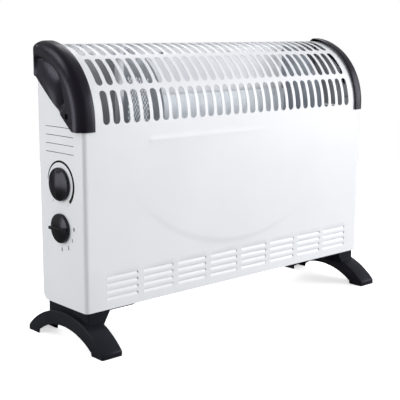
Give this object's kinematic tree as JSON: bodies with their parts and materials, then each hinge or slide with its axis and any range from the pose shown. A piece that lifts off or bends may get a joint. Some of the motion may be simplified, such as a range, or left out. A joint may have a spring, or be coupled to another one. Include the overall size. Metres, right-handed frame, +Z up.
{
  "type": "convector heater",
  "caption": "Free-standing convector heater: white sheet casing with a slotted curved top, black end caps and arched feet, and two turning knobs on its left side.",
  "frame": {"origin": "on the floor under the middle of the body", "axes": "+X to the heater's right seen from its front, +Y to its back, +Z up; the front faces -Y"},
  "size_m": [0.5768, 0.178, 0.4079],
  "materials": {
    "white_enamel": "smooth semi-gloss powder coat",
    "black_plastic": "fine moulded texture",
    "knob_plastic": "smooth moulded",
    "galvanised_sheet": "galvanised, faint spangle",
    "cast_aluminium": "as extruded",
    "plated_steel": "zinc plated",
    "brass": "turned",
    "ceramic": "unglazed ceramic",
    "bakelite": "moulded phenolic"
  },
  "bodies": {
    "heater": {"front_casing": "white_enamel", "rear_panel": "white_enamel", "base_plate": "galvanised_sheet", "left_end_cap": "black_plastic", "right_end_cap": "black_plastic", "left_foot": "black_plastic", "right_foot": "black_plastic", "thermostat_body": "bakelite", "thermostat_blade": "plated_steel", "selector_body": "bakelite", "selector_tabs": "brass", "left_bulkhead": "galvanised_sheet", "right_bulkhead": "galvanised_sheet", "bulkhead_mesh": "galvanised_sheet", "rear_reflector": "galvanised_sheet", "front_reflector": "galvanised_sheet", "low_element_fins": "cast_aluminium", "low_element_rod": "plated_steel", "high_element_fins": "cast_aluminium", "high_element_rod": "plated_steel", "element_bushes": "ceramic", "thermal_cutout": "bakelite", "terminal_block": "bakelite", "cord_gland": "black_plastic", "cap_screws": "plated_steel", "control_screws": "plated_steel", "rear_screws": "plated_steel", "foot_screws": "plated_steel", "bulkhead_screws": "plated_steel"},
    "thermostat_control": {"thermostat_knob": "knob_plastic", "thermostat_spindle": "brass"},
    "selector_control": {"selector_knob": "knob_plastic", "selector_spindle": "brass"}
  },
  "joints": [
    {"name": "thermostat_turn", "type": "hinge", "parent": "heater", "child": "thermostat_control", "pos_m": [-0.28, 0.00275, 0.2206], "axis": [1, 0, 0], "range_deg": [-135, 135]},
    {"name": "selector_turn", "type": "hinge", "parent": "heater", "child": "selector_control", "pos_m": [-0.28, 0.00275, 0.161], "axis": [1, 0, 0], "range_deg": [0, 90]}
  ]
}
